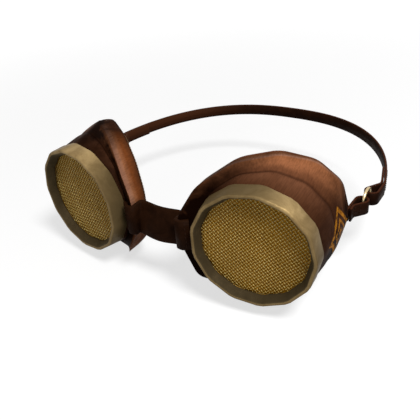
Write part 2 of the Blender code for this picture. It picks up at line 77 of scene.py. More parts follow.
# Cup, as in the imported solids: the flat loops that its leather is drawn over
LEATHER = 0.0020
CORNER_CUT = 0.11
SHARES = (CORNER_CUT, 0.30, 0.5, 0.70, 1 - CORNER_CUT)
CREASE_CENTRE, CREASE_TOE = (-0.0014, 0.0165), math.radians(22.0)
CREASE_WIDE, CREASE_HIGH = 0.0295, 0.0298
RIDGE_CENTRE, RIDGE_TOE = (-0.0058, 0.0220), math.radians(35.5)
RIDGE_WIDE, RIDGE_HIGH = 0.0377, 0.0342
REAR_CENTRE, REAR_TOE = (-0.0061, 0.0300), math.radians(33.0)
REAR_WIDE, REAR_HIGH = 0.0351, 0.0321
RIDGE_PULL_SHARES = {
    1: Vector((0, 0.037, 0.040)),
    2: Vector((0.0345, 0.0557, -0.0212)),
    3: Vector((0.0902, 0.0318, -0.0265)),
    4: Vector((0.0531, 0, -0.0265)),
    5: Vector((0.0186, -0.0318, -0.0292)),
    8: Vector((0.0212, -0.1194, 0)),
}

# Leather strips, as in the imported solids
BRIDGE_MIDDLE = -0.001
BRIDGE_HEIGHT = 0.0158
STRIP_HEIGHT = 0.0066
STRAP_EYE_BACK = 0.03202
STRAP_REAR = 0.0041 + 0.1087
STRAP_RISE = 0.0013

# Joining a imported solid's triangles back into quads
MERGE_DISTANCE = 1e-6
JOIN_FACE_ANGLE = math.radians(30)
JOIN_SHAPE_ANGLE = math.radians(60)

# Softened edges: width, segments, least angle
BEZEL_EDGE = (0.00028, 2, math.radians(22))
STRIP_EDGE = (0.00040, 3, math.radians(50))

# Woven screen
WIRE_PITCH = 0.00134
WIRE_RADIUS = 0.00018
WIRE_SIDES = 5
WAVE_STEPS = 3
WAVE_HEIGHT = 0.85
WEAVE_ANGLE = math.radians(45) + math.radians(5.5)
WEAVE_REACH = LENS_RADIUS - 0.0008
RIM_RADIUS = LENS_RADIUS - 0.0006
RIM_STEPS = 96
RIM_SIDES = 8

# Screw thread on the collar
THREAD_PITCH = 0.0015
THREAD_RADIUS = 0.02608
THREAD_START = 0.0052
THREAD_WIRE = 0.00018
THREAD_WIRE_SIDES = 6
THREAD_TURN_STEPS = 72
THREAD_POINTS = 161

# Face pads: the cloth is solved at a larger scale, and a point that lies within SEWN_NEAR of the
# cup stays where it is, one beyond SEWN_NEAR + SEWN_FADE is free
CLOTH_SCALE = 12.0
CLOTH_QUALITY = 6
CLOTH_PRESSURE = 4.0
CLOTH_FRAMES = 20
PAD_SHRINK = 0.0005
PAD_SHRINK_FADE = 0.002
PAD_MOST_MOVE = 0.0013
PAD_EASE = 0.5
PAD_EASE_TIMES = 3
SEWN_NEAR = 0.0006
SEWN_FADE = 0.0012

# Stitches: rays start well outside each piece and run in to its surface
STITCH_RADIUS = 0.00020
STITCH_SIDES = 6
STITCH_FLAT_SHARE = 0.6
STITCH_PROUD_SHARE = 0.55
TAB_RAYS_FROM = 0.09
TAB_SEAMS_BACK = (0.0150, 0.0172)
TAB_SEAM_HALF = 0.0026
TAB_STITCHES, TAB_STITCH = 3, 0.0012
BRIDGE_RAYS_FROM = -0.08
BRIDGE_SEAM_INSET = 0.0016
BRIDGE_SEAM_BOTTOM, BRIDGE_SEAM_TOP = -0.0072, 0.0056
BRIDGE_STITCHES, BRIDGE_STITCH = 6, 0.0013
STRAP_RAYS_FROM = 0.11
STRAP_SEAMS_UP = (-0.0023, 0.0023)
STRAP_SEAM_BACK = (0.0425, 0.0548)
STRAP_STITCHES, STRAP_STITCH = 6, 0.0014
PAD_RAYS_FROM = 0.02
PAD_SEAM_INSET = 0.0026
PAD_STITCH, PAD_STITCH_RADIUS = 0.0015, 0.00022

# Painted shade on the cups' leather, deepest on the nose side: corner of the cup, place from bezel
# to face, the reach of each, and how dark
CUP_PAINTED_SHADE = {
    1: [
        (6.95, 0.30, 2.95, 0.85, 1.00), (9.8, 0.40, 1.5, 0.70, 0.80),
        (12.0, 0.42, 1.1, 0.55, 0.76), (0.2, 0.35, 1.4, 0.85, 0.58),
        (2.5, 0.72, 3.4, 0.10, 0.45), (4.1, 0.46, 0.85, 0.26, 0.42),
        (12.8, 0.60, 0.9, 0.30, 0.60),
    ],
    -1: [
        (4.6, 0.42, 1.9, 0.17, 0.88), (3.8, 0.10, 3.4, 0.22, 0.70),
        (3.2, 0.70, 1.15, 0.50, 0.80), (7.3, 0.30, 1.7, 0.30, 0.95),
        (10.2, 0.40, 2.4, 0.60, 0.70),
    ],
}

# Painted shade on the bezels, all round but for a painted highlight at the top of the temple side,
# and lighter on the face; the inner faces take a darker copy of the metal, painted shade too
BEZEL_PAINTED_HIGHLIGHT = {1: math.radians(50), -1: math.radians(100)}
PAINTED_HIGHLIGHT_REACH = math.radians(24)
BEZEL_SHADE_DEPTH = 0.84
FACE_SHADE_SHARE = 0.68
FACE_DEPTH = 0.0002
INSIDE_DEPTH = 0.005
INSIDE_LEAN = -0.2

# Cup leather's tone from the bezel (0) over the crease and the ridge (0.6) to the face (1), darker
# next to the bezel and in the crease as painted shade, with a painted highlight along the ridge
CUP_TONES_AND_PAINTED_LIGHT = [
    # Painted shade next to the bezel
    (0.00, (0.095, 0.036, 0.016)),
    (0.17, (0.172, 0.067, 0.032)),
    # Painted shade in the crease
    (0.215, (0.080, 0.029, 0.013)),
    (0.26, (0.170, 0.062, 0.027)),
    (0.46, (0.350, 0.130, 0.055)),
    (0.585, (0.370, 0.136, 0.055)),
    # Painted highlight along and just behind the ridge, up to 0.645
    (0.605, (0.390, 0.182, 0.110)),
    (0.645, (0.370, 0.165, 0.090)),
    (0.70, (0.320, 0.120, 0.050)),
    (0.80, (0.215, 0.062, 0.017)),
    (1.00, (0.100, 0.032, 0.011)),
]
CUP_MOTTLE = (0.080, 0.026, 0.011)
CUP_STREAK = (0.016, 0.005, 0.0025)
# Colour of the painted shade
CUP_SHADE_COLOUR = (0.0070, 0.0023, 0.0010)

# Painted motif: its middle and half size in the cup's UV map, and its bands from the middle out
OCHRE = (0.520, 0.200, 0.014)
MOTIF_MIDDLE = (-0.006, 0.345)
MOTIF_HALF = (0.066, 0.275)
MOTIF_BANDS = [
    (0.00, 1.0), (0.17, 1.0), (0.22, 0.0), (0.36, 0.0), (0.41, 1.0), (0.50, 1.0), (0.55, 0.0),
    (0.72, 0.0), (0.77, 1.0), (0.92, 1.0), (0.97, 0.0),
]

# Floor, light and camera
FLOOR_HALF = 12.0
FLOOR_DROP = 0.0006
FLOOR_GREY = (0.40, 0.40, 0.40, 1)
GLOW_NEAR, GLOW_FAR, GLOW_REACH = 0.66, 1.0, 1.1
WORLD_LIGHT = 0.16
WORLD_SEEN = 1.0
SEEN_RAYS = ("Is Camera Ray", "Is Glossy Ray", "Is Transmission Ray")
LAMPS = (("key", (0.40, -0.20, 0.66), 0.22, 5.6), ("fill", (0.05, -0.80, 0.25), 0.5, 1.1))
LAMP_AIM = Vector((0, 0.02, 0))
CAMERA_PLACE = Vector((0.13364, -0.17997, 0.12236))
CAMERA_AZIMUTH = math.radians(35.124)
CAMERA_ELEVATION = math.radians(30.776)
CAMERA_ROLL = math.radians(-4.903)
CAMERA_FOCAL_PIXELS = 516.32
CAMERA_NEAR_CLIP = 0.01
PICTURE_PIXELS = 420
SENSOR_WIDTH = 36.0


# ---------------------------------------------------------------- shader nodes
class Shade:
    """A material being built: short calls for the nodes that the finishes share."""

    def __init__(self, name):
        self.made = bpy.data.materials.new(name)
        self.made.use_nodes = True
        self.tree = self.made.node_tree
        self.shader = self.tree.nodes["Principled BSDF"]

    def node(self, kind, **values):
        made = self.tree.nodes.new(kind)
        for key, value in values.items():
            setattr(made, key, value)
        return made

    def link(self, start, end):
        self.tree.links.new(start, end)

    def set(self, **values):
        """Sets the shader's own inputs, with underscores for the spaces in their names."""
        for key, value in values.items():
            self.shader.inputs[key.replace("_", " ")].default_value = value

    def place(self):
        return self.node("ShaderNodeTexCoord").outputs["Object"]

    def uv(self, layer):
        return self.node("ShaderNodeUVMap", uv_map=layer).outputs["UV"]

    def attribute(self, name):
        return self.node("ShaderNodeAttribute", attribute_name=name).outputs["Fac"]

    def stretched(self, source, scale):
        made = self.node("ShaderNodeMapping")
        made.inputs["Scale"].default_value = scale
        self.link(source, made.inputs["Vector"])
        return made.outputs["Vector"]

    def noise(self, source, size, detail=4.0, roughness=0.55, distortion=0.0):
        made = self.node("ShaderNodeTexNoise")
        made.inputs["Scale"].default_value = 1 / size
        made.inputs["Detail"].default_value = detail
        made.inputs["Roughness"].default_value = roughness
        made.inputs["Distortion"].default_value = distortion
        self.link(source, made.inputs["Vector"])
        return made.outputs["Fac"]

    def cells(self, source, size, feature):
        made = self.node("ShaderNodeTexVoronoi", feature=feature)
        made.inputs["Scale"].default_value = 1 / size
        self.link(source, made.inputs["Vector"])
        return made.outputs["Distance"]

    def ramp(self, source, stops, ease="EASE"):
        """Turns a value into a colour or a grey by (place, colour or value) stops."""
        made = self.node("ShaderNodeValToRGB")
        made.color_ramp.interpolation = ease
        points = made.color_ramp.elements
        while len(points) < len(stops):
            points.new(0.5)
        for point, (place, colour) in zip(points, stops):
            point.position = place
            point.color = (*(colour if isinstance(colour, tuple) else (colour,) * 3), 1.0)
        self.link(source, made.inputs["Fac"])
        return made.outputs["Color"]

    def mix(self, share, first, second):
        made = self.node("ShaderNodeMix", data_type="RGBA")
        made.clamp_factor = True
        for socket, value in zip((made.inputs[0], made.inputs[6], made.inputs[7]),
                                 (share, first, second)):
            if isinstance(value, bpy.types.NodeSocket):
                self.link(value, socket)
            elif isinstance(value, tuple):
                socket.default_value = (*value, 1.0)
            else:
                socket.default_value = value
        return made.outputs[2]

    def maths(self, operation, first, second=0.0):
        made = self.node("ShaderNodeMath", operation=operation)
        for socket, value in zip(made.inputs, (first, second)):
            if isinstance(value, bpy.types.NodeSocket):
                self.link(value, socket)
            else:
                socket.default_value = value
        return made.outputs[0]

    def split(self, source):
        made = self.node("ShaderNodeSeparateXYZ")
        self.link(source, made.inputs[0])
        return made.outputs

    def bump(self, height, strength, distance, under=None):
        made = self.node("ShaderNodeBump")
        made.inputs["Strength"].default_value = strength
        made.inputs["Distance"].default_value = distance
        self.link(height, made.inputs["Height"])
        if under is not None:
            self.link(under, made.inputs["Normal"])
        return made.outputs["Normal"]

    def out(self, colour, rough=None, normal=None):
        """Links what is given to the shader, and gives the finished material."""
        self.link(colour, self.shader.inputs["Base Color"])
        if rough is not None:
            self.link(rough, self.shader.inputs["Roughness"])
        if normal is not None:
            self.link(normal, self.shader.inputs["Normal"])
        return self.made


def scaled(colour, share):
    return tuple(part * share for part in colour)


def grain(s, place, pebble, strength, distance, under=None):
    """Leather grain: shallow pebbles with finer pores and broad soft wrinkles."""
    pebbles = s.cells(place, pebble, "SMOOTH_F1")
    pores = s.noise(place, pebble * 0.45, detail=3.0, roughness=0.6)
    wrinkles = s.noise(s.stretched(place, (1.0, 1.0, 2.2)), 0.006,
                       detail=5.0, roughness=0.6, distortion=0.4)
    height = s.maths("ADD", s.maths("MULTIPLY", pebbles, 0.8), s.maths("MULTIPLY", pores, 0.6))
    fine = s.bump(height, strength, distance, under)
    return s.bump(wrinkles, 0.35, 0.0005, fine)


def cup_leather(name, motif):
    """Polished red-brown leather, warm on the roll, with painted shade and a painted highlight, and
    perhaps a motif.
    """
    s = Shade(name)
    place = s.place()
    run = s.uv("run")
    across, along, _ = s.split(run)
    mottle = s.noise(place, 0.011, detail=5.0, roughness=0.6, distortion=0.6)
    fibre = s.noise(s.stretched(run, (300.0, 10.0, 1.0)), 1.0, roughness=0.6)
    tone = s.ramp(along, CUP_TONES_AND_PAINTED_LIGHT)
    tone = s.mix(s.ramp(mottle, [(0.30, 0.0), (0.72, 0.45)]), tone, CUP_MOTTLE)
    streaks = s.maths("MULTIPLY", s.ramp(fibre, [(0.35, 0.0), (0.70, 1.0)]), 0.30)
    tone = s.mix(streaks, tone, CUP_STREAK)
    # Painted shade, broken up by the mottle
    painted_shade_mask = s.maths("MULTIPLY", s.maths("ADD", mottle, 0.66), s.attribute("painted_shade"))
    tone = s.mix(painted_shade_mask, tone, CUP_SHADE_COLOUR)
    if motif:
        tone = painted_motif(s, tone, across, along)
    rough = s.ramp(mottle, [(0.25, 0.42), (0.80, 0.58)])
    s.set(Specular_IOR_Level=0.005)
    return s.out(tone, rough, grain(s, place, 0.0007, 0.35, 0.00010))


def painted_motif(s, leather, across, along):
    """Nested lozenges in worn ochre paint on the temple side, a plain pattern of the builder's."""
    turn = s.maths("SUBTRACT", s.maths("FRACT", s.maths("ADD", across, 0.5)), 0.5)
    wide = s.maths("DIVIDE", s.maths("SUBTRACT", turn, MOTIF_MIDDLE[0]), MOTIF_HALF[0])
    high = s.maths("DIVIDE", s.maths("SUBTRACT", along, MOTIF_MIDDLE[1]), MOTIF_HALF[1])
    away = s.maths("ADD", s.maths("ABSOLUTE", wide), s.maths("ABSOLUTE", high))
    bands = s.ramp(away, MOTIF_BANDS, "LINEAR")
    wear_and_sheen = s.noise(s.place(), 0.0016, detail=5.0, roughness=0.7, distortion=0.5)
    kept = s.maths("MULTIPLY", bands, s.ramp(wear_and_sheen, [(0.42, 0.15), (0.56, 0.85)]))
    return s.mix(kept, leather, OCHRE)


def strip_leather(name, base, edge, gloss, painted_sheen=0.0):
    """Oiled dark leather, rubbed lighter along its cut edges, with a painted sheen that lightens it
    towards the wearer's right.
    """
    s = Shade(name)
    place = s.place()
    across = s.split(s.uv("run"))[0]
    mottle = s.noise(place, 0.007, detail=5.0, roughness=0.6, distortion=0.5)
    fibre = s.noise(s.stretched(place, (1.0, 1.0, 5.0)), 0.0016, roughness=0.65)
    tone = s.mix(s.ramp(mottle, [(0.30, 0.0), (0.70, 1.0)]), base, scaled(base, 0.45))
    tone = s.mix(s.maths("MULTIPLY", fibre, 0.5), tone, scaled(base, 0.35))
    rubbed_and_lit = s.ramp(across, [(0.00, 1.0), (0.07, 0.0), (0.93, 0.0), (1.00, 1.0)])
    tone = s.mix(s.maths("MULTIPLY", rubbed_and_lit, 0.7), tone, edge)
    # Painted sheen: lighter towards the wearer's right
    rightwards = s.maths("ADD", s.maths("MULTIPLY", s.split(place)[0], 10.0), 0.8)
    wear_and_sheen = s.ramp(rightwards, [(0.1, 1.0), (0.6, 0.0)])
    tone = s.mix(s.maths("MULTIPLY", wear_and_sheen, painted_sheen), tone, scaled(base, 3.0))
    rough = s.ramp(mottle, [(0.25, 0.48), (0.80, 0.64)])
    s.set(Specular_IOR_Level=gloss)
    crown = s.ramp(across, [(0.00, 0.0), (0.20, 0.72), (0.50, 1.0), (0.80, 0.72), (1.00, 0.0)])
    domed = s.bump(crown, 0.9, 0.0009)
    return s.out(tone, rough, grain(s, place, 0.0006, 0.40, 0.00010, domed))


def pad_leather(name):
    """Dull soft leather of the face pads, a little more open in its grain."""
    s = Shade(name)
    place = s.place()
    mottle = s.noise(place, 0.006, detail=5.0, roughness=0.6, distortion=0.5)
    tone = s.mix(mottle, (0.092, 0.040, 0.018), (0.036, 0.014, 0.007))
    rough = s.ramp(mottle, [(0.2, 0.60), (0.8, 0.78)])
    s.set(Specular_IOR_Level=0.10)
    return s.out(tone, rough, grain(s, place, 0.0009, 0.5, 0.00012))


def bezel_metal(name, light, dark, rough_low):
    """Dull tan metal with brushed streaks, darker stains and painted shade where its point attribute
    says.
    """
    s = Shade(name)
    place = s.place()
    stains = s.noise(place, 0.010, detail=6.0, roughness=0.62, distortion=0.8)
    brushed = s.noise(s.stretched(place, (1.0, 1.0, 0.14)), 0.0007, roughness=0.7)
    tone = s.mix(s.ramp(stains, [(0.32, 0.0), (0.70, 1.0)]), light, dark)
    tone = s.mix(s.maths("MULTIPLY", brushed, 0.45), tone, scaled(dark, 0.45))
    # Painted shade from the point attribute
    tone = s.mix(s.attribute("painted_shade"), tone, scaled(dark, 0.22))
    rough = s.ramp(stains, [(0.25, rough_low), (0.80, rough_low + 0.22)])
    s.set(Metallic=0.25, Specular_IOR_Level=0.02)
    fine = s.bump(brushed, 0.18, 0.00006)
    return s.out(tone, rough, s.bump(stains, 0.15, 0.0003, fine))


def brass(name, base, rough_low):
    """Brass with soft stains."""
    s = Shade(name)
    place = s.place()
    stains = s.noise(place, 0.004, distortion=0.3)
    tone = s.mix(s.ramp(stains, [(0.40, 0.0), (0.75, 1.0)]), base, scaled(base, 0.55))
    s.set(Metallic=1.0)
    rough = s.ramp(stains, [(0.25, rough_low), (0.80, rough_low + 0.16)])
    return s.out(tone, rough, s.bump(stains, 0.05, 0.00002))


def wire_metal(name):
    """Brass wire with a painted highlight where it passes over and painted shade where it passes
    under.
    """
    s = Shade(name)
    stains = s.noise(s.place(), 0.006, roughness=0.6)
    wear_and_sheen = s.mix(s.ramp(stains, [(0.35, 0.0), (0.70, 1.0)]),
                 (0.620, 0.485, 0.175), (0.440, 0.325, 0.100))
    # Painted highlight on the crossings, painted shade where the wire runs under
    over = s.ramp(s.attribute("lift"), [(0.58, 0.0), (0.97, 1.0)])
    tone = s.mix(over, (0.270, 0.142, 0.016), wear_and_sheen)
    s.set(Metallic=0.25, Specular_IOR_Level=0.15)
    return s.out(tone, s.ramp(stains, [(0.2, 0.34), (0.8, 0.48)]))


def amber_glass(name):
    """Clouded amber glass that lets a little light through."""
    s = Shade(name)
    cloud = s.noise(s.place(), 0.016, detail=3.0, roughness=0.5, distortion=0.6)
    tone = s.mix(s.ramp(cloud, [(0.35, 0.0), (0.70, 1.0)]),
                 (0.530, 0.255, 0.013), (0.395, 0.184, 0.009))
    s.set(Roughness=0.25, Transmission_Weight=0.12, IOR=1.5, Specular_IOR_Level=0.06)
    return s.out(tone)


def rubber(name):
    """Matt black rubber."""
    s = Shade(name)
    fine = s.noise(s.place(), 0.0006, detail=3.0, roughness=0.6)
    tone = s.mix(fine, (0.012, 0.012, 0.012), (0.030, 0.029, 0.028))
    s.set(Roughness=0.75)
    return s.out(tone, None, s.bump(fine, 0.3, 0.00005))


def thread(name, base):
    """Waxed sewing thread."""
    s = Shade(name)
    fine = s.noise(s.place(), 0.0003, detail=3.0, roughness=0.6)
    tone = s.mix(fine, base, scaled(base, 0.5))
    s.set(Roughness=0.7, Specular_IOR_Level=0.05)
    return s.out(tone, None, s.bump(fine, 0.4, 0.00003))


# ---------------------------------------------------------------- meshes
def piece(name, shape, finishes, body, slot, *replaced):
    """Makes a dressed piece from a bmesh, on its body, in place of the solids it stands for."""
    mesh = bpy.data.meshes.new(name)
    shape.to_mesh(mesh)
    shape.free()
    made = bpy.data.objects.new(name, mesh)
    bpy.context.scene.collection.objects.link(made)
    for finish in finishes:
        mesh.materials.append(finish)
    mesh.shade_smooth()
    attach(made, body)
    if replaced:
        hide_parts(*replaced)
    return made


def subdivide(made, levels, kind="CATMULL_CLARK"):
    step = made.modifiers.new("smooth", "SUBSURF")
    step.subdivision_type = kind
    step.levels = levels
    step.render_levels = levels


def soften(made, edge, harden):
    """Bevels every edge sharper than the least angle."""
    step = made.modifiers.new("round", "BEVEL")
    step.width, step.segments, step.angle_limit = edge
    step.limit_method = "ANGLE"
    step.harden_normals = harden


def fixed(made):
    """Leaves the object with the mesh that its modifiers make."""
    graph = bpy.context.evaluated_depsgraph_get()
    old = made.data
    made.data = bpy.data.meshes.new_from_object(made.evaluated_get(graph))
    made.modifiers.clear()
    bpy.data.meshes.remove(old)


def tree_of(mesh):
    return BVHTree.FromPolygons([v.co for v in mesh.vertices], [p.vertices for p in mesh.polygons])


def copied(node):
    """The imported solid's shape with its triangles joined back into quads."""
    shape = bmesh.new()
    shape.from_mesh(nodes[node].data)
    bmesh.ops.remove_doubles(shape, verts=shape.verts, dist=MERGE_DISTANCE)
    bmesh.ops.join_triangles(
        shape, faces=shape.faces, cmp_seam=False, cmp_sharp=False, cmp_uvs=False,
        cmp_vcols=False, cmp_materials=False, angle_face_threshold=JOIN_FACE_ANGLE,
        angle_shape_threshold=JOIN_SHAPE_ANGLE)
    return shape


def flip(shape, side):
    """Mirrors a left-hand shape for the wearer's right side."""
    if side < 0:
        bmesh.ops.scale(shape, verts=shape.verts, vec=(-1, 1, 1))
        bmesh.ops.reverse_faces(shape, faces=shape.faces)


def outline():
    """Points round a many-sided loop of radius 1, each with its place counted in corners."""
    corners = [Vector((math.cos(2 * math.pi * k / SIDES), math.sin(2 * math.pi * k / SIDES)))
               for k in range(SIDES)]
    return [(corners[k].lerp(corners[(k + 1) % SIDES], share), k + share)
            for k in range(SIDES) for share in SHARES]


OUTLINE = outline()


def pull_at(place):
    """How far the ridge is drawn off its plane at a place between two corners."""
    drawn = Vector((0, 0, 0))
    for corner, pull in RIDGE_PULL_SHARES.items():
        drawn += pull * max(1 - abs(place - corner) / (1 - CORNER_CUT), 0)
    return drawn * RIDGE_WIDE


def plane_loop(centre, toe, wide, high, inward, pulled=0.0):
    """A loop of the left cup in a plane toed towards the temple."""
    across = Vector((math.cos(toe), math.sin(toe)))
    middle = Vector(centre)
    points = []
    for point, place in OUTLINE:
        spot = middle + across * (point.x * (wide - inward))
        spot = Vector((spot.x, spot.y, point.y * (high - inward)))
        points.append(spot + pull_at(place) * pulled)
    return points


def crease(inward=0.0):
    return plane_loop(CREASE_CENTRE, CREASE_TOE, CREASE_WIDE, CREASE_HIGH, inward)


def ridge():
    return plane_loop(RIDGE_CENTRE, RIDGE_TOE, RIDGE_WIDE, RIDGE_HIGH, 0.0, 1.0)


def rear(inward=0.0):
    return plane_loop(REAR_CENTRE, REAR_TOE, REAR_WIDE, REAR_HIGH, inward)


def neck(radius, depth, rounded=False):
    """A loop round the lens axis, many-sided outside and round in the bore."""
    turn = Matrix.Rotation(TOE, 3, "Z")
    points = []
    for point, _ in OUTLINE:
        flat = point.normalized() if rounded else point
        points.append(turn @ Vector((flat.x * radius, depth, flat.y * radius)))
    return points


def ridge_inside(depth):
    """The loop below the ridge where the inside faces of the front wall and the roll meet."""
    loop = []
    for before, corner, after in zip(crease(), ridge(), rear()):
        arriving = (corner - before).normalized()
        leaving = (after - corner).normalized()
        loop.append(corner + (leaving - arriving) * (depth / arriving.cross(leaving).length))
    return loop


def between(first, second, share, bulge=0.0):
    """A loop part of the way from one to the next, swelled outwards by bulge."""
    middle = sum(first, Vector()) / len(first)
    loop = []
    for start, end in zip(first, second):
        spot = start.lerp(end, share)
        away = Vector((spot.x - middle.x, 0, spot.z - middle.z)).normalized()
        loop.append(spot + away * bulge)
    return loop


def cup_rows():
    """The cup's loops, each with its place from bezel to face, and how firmly some are creased."""
    front, folded, top, back = neck(NECK_CORNER, NECK_FRONT), crease(), ridge(), rear()
    before_top = between(top, folded, 0.06)
    behind_top = between(top, back, 0.12)
    return [
        # Front wall, from the neck to the crease
        (neck(NECK_CORNER - 0.0004, NECK_FRONT), 0.00, 0.9),
        (between(front, folded, 0.03), 0.01, 0),
        (between(front, folded, 0.35, 0.0002), 0.07, 0),
        (between(front, folded, 0.80, 0.0002), 0.16, 0),
        (between(front, folded, 0.96), 0.20, 0),
        (crease(0.0003), 0.215, 0.45),
        # Roll, from the crease up to the ridge
        (between(folded, before_top, 0.05), 0.23, 0),
        (between(folded, before_top, 0.30, 0.0003), 0.33, 0),
        (between(folded, before_top, 0.62, 0.0004), 0.46, 0),
        (between(folded, before_top, 0.90, 0.0002), 0.57, 0),
        (before_top, 0.59, 0),
        (top, 0.60, 0.75),
        # Back of the roll, from the ridge to the rear edge
        (behind_top, 0.61, 0),
        (between(behind_top, back, 0.12, 0.0001), 0.65, 0),
        (between(behind_top, back, 0.38, 0.0004), 0.75, 0),
        (between(behind_top, back, 0.68, 0.0004), 0.86, 0),
        (between(behind_top, back, 0.93, 0.0001), 0.95, 0),
        (rear(0.0002), 0.98, 0),
        (rear(0.0008), 1.00, 0.3),
        # Inside, from the rear edge to the bore; its place is beyond the face, so the motif ends
        (rear(LEATHER), 1.05, 0),
        (ridge_inside(LEATHER), 1.40, 0),
        (neck(NECK_BORE, COLLAR_END, True), 1.90, 0),
        (neck(NECK_BORE, NECK_FRONT, True), 2.00, 0),
    ]


def painted_shade_at(side, place, along):
    """How deep the painted shade on the leather is, 0 to 1, at a corner and a place from bezel to
    face.
    """
    lightest = 1.0
    for corner, middle, reach, high, depth in CUP_PAINTED_SHADE[side]:
        apart = min(abs(place - corner), SIDES - abs(place - corner)) / reach
        off = (along - middle) / high
        lightest *= 1 - depth * math.exp(-(apart * apart + off * off) ** 2)
    return 1 - lightest


def build_cup(side, finish):
    """A leather eyecup; its UV map "run" has U round the cup and V from bezel to face."""
    which = SIDE_NAMES[side]
    rows = cup_rows()
    shape = bmesh.new()
    layer = shape.loops.layers.uv.new("run")
    creased = shape.edges.layers.float.new("crease_edge")
    # Each point keeps how deep its painted shade is
    shade = shape.verts.layers.float.new("painted_shade")
    loops = [[shape.verts.new(point + EYE) for point in row] for row, _, _ in rows]
    for verts, (_, along, _) in zip(loops, rows):
        for vert, (_, place) in zip(verts, OUTLINE):
            vert[shade] = painted_shade_at(side, place, along)
    turns = [place / SIDES for _, place in OUTLINE]
    turns.append((SIDES + OUTLINE[0][1]) / SIDES)
    count = len(OUTLINE)
    for k, first in enumerate(loops):
        following = (k + 1) % len(loops)
        second, start, end = loops[following], rows[k][1], rows[following][1]
        for i in range(count):
            j = (i + 1) % count
            face = shape.faces.new((first[i], first[j], second[j], second[i]))
            u, w = turns[i], turns[i + 1]
            for corner, uv in zip(face.loops, ((u, start), (w, start), (w, end), (u, end))):
                corner[layer].uv = uv
    bmesh.ops.recalc_face_normals(shape, faces=shape.faces)
    for verts, (_, _, weight) in zip(loops, rows):
        for i in range(count):
            shape.edges.get((verts[i], verts[(i + 1) % count]))[creased] = weight
    flip(shape, side)
    made = piece("leather_cup_" + which, shape, [finish], "goggle_frame", "cup_leather",
                 "cup_" + which)
    subdivide(made, 2)


def bezel_painted_shade(side, angle, depth):
    """Painted shade all round but for a painted highlight at the top of the temple side, and less of
    it on the face.
    """
    apart = abs(math.remainder(angle - BEZEL_PAINTED_HIGHLIGHT[side], 2 * math.pi))
    # The face takes a smaller share of the painted shade, so it reads lighter
    rubbed_and_lit = FACE_SHADE_SHARE if depth < FACE_DEPTH else 1.0
    return BEZEL_SHADE_DEPTH * rubbed_and_lit * (1 - math.exp(-(apart / PAINTED_HIGHLIGHT_REACH) ** 2))


def build_bezel(side, outer, inner):
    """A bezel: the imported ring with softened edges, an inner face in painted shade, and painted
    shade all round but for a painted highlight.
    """
    which = SIDE_NAMES[side]
    made = piece("turned_bezel_" + which, copied("bezel_" + which), [outer, inner],
                 "bezel_" + which, "bezel_metal", "bezel_" + which)
    out = Vector((side * math.sin(TOE), -math.cos(TOE), 0))
    centre = Vector((side * EYE.x, EYE.y, 0))

    def placed(spot):
        """How deep a point lies behind the bezel's face, and its way out from the lens axis."""
        depth = -(spot - centre).dot(out)
        return depth, spot - centre + out * depth

    # Inward faces near the front take the darker copy of the metal, painted shade in the bore
    for face in made.data.polygons:
        depth, away = placed(face.center)
        if face.normal.dot(away.normalized()) < INSIDE_LEAN and depth < INSIDE_DEPTH:
            face.material_index = 1
    # Painted shade per point, but for a painted highlight at the top of the temple side
    layer = made.data.attributes.new("painted_shade", "FLOAT", "POINT")
    for vert, value in zip(made.data.vertices, layer.data):
        depth, away = placed(vert.co)
        value.value = bezel_painted_shade(side, math.atan2(away.z, side * away.x), depth)
    soften(made, BEZEL_EDGE, False)


def tube(shape, points, radius, sides, closed_ends=True, lifts=None):
    """A round wire along a run of points; lifts says how far up the weave each lies, 0 to 1."""
    rows = []
    layer = shape.verts.layers.float.get("lift") or shape.verts.layers.float.new("lift")
    last = len(points) - 1
    for i, spot in enumerate(points):
        along = (points[min(i + 1, last)] - points[max(i - 1, 0)]).normalized()
        up = Vector((0, 1, 0)) if abs(along.y) < 0.9 else Vector((1, 0, 0))
        first = along.cross(up).normalized()
        second = first.cross(along)
        rows.append([shape.verts.new(spot + radius * (first * math.cos(a) + second * math.sin(a)))
                     for a in (2 * math.pi * k / sides for k in range(sides))])
        for vert in rows[-1]:
            vert[layer] = lifts[i] if lifts else 0.5
    for row, following in zip(rows, rows[1:]):
        for i in range(sides):
            j = (i + 1) % sides
            shape.faces.new((row[i], row[j], following[j], following[i]))
    if closed_ends:
        shape.faces.new(rows[0][::-1])
        shape.faces.new(rows[-1])


def from_lens(side, spot):
    """From the lens's own frame, X to the temple and Y rearwards, to the part."""
    turned = Matrix.Rotation(TOE, 3, "Z") @ spot + EYE
    return Vector((turned.x * side, turned.y, turned.z))


def round_lens(side, radius, angle, depth):
    """A point of the part, by its radius and angle round the lens axis and its depth."""
    flat = Vector((math.cos(angle) * radius, depth, math.sin(angle) * radius))
    return from_lens(side, flat)


def weave(shape, side, middle):
    """Two families of wires that pass over and under each other by turns."""
    count = math.ceil(WEAVE_REACH / WIRE_PITCH)
    turn = Matrix.Rotation(WEAVE_ANGLE, 3, "Y")
    for family in range(2):
        for i in range(-count, count + 1):
            off = i * WIRE_PITCH
            if abs(off) >= WEAVE_REACH:
                continue
            half = math.sqrt(WEAVE_REACH ** 2 - off ** 2)
            last = WAVE_STEPS * int(half / WIRE_PITCH)
            points = []
            lifts = []
            for step in range(-last, last + 1):
                along = step * WIRE_PITCH / WAVE_STEPS
                wave = math.cos(math.pi * step / WAVE_STEPS) * (1 if (i + family) % 2 else -1)
                lift = WIRE_RADIUS * WAVE_HEIGHT * wave
                flat = Vector((off, -lift, along)) if family else Vector((along, -lift, off))
                points.append(from_lens(side, turn @ flat + Vector((0, middle, 0))))
                lifts.append(0.5 + 0.5 * wave)
            if len(points) > 2:
                tube(shape, points, WIRE_RADIUS, WIRE_SIDES, lifts=lifts)


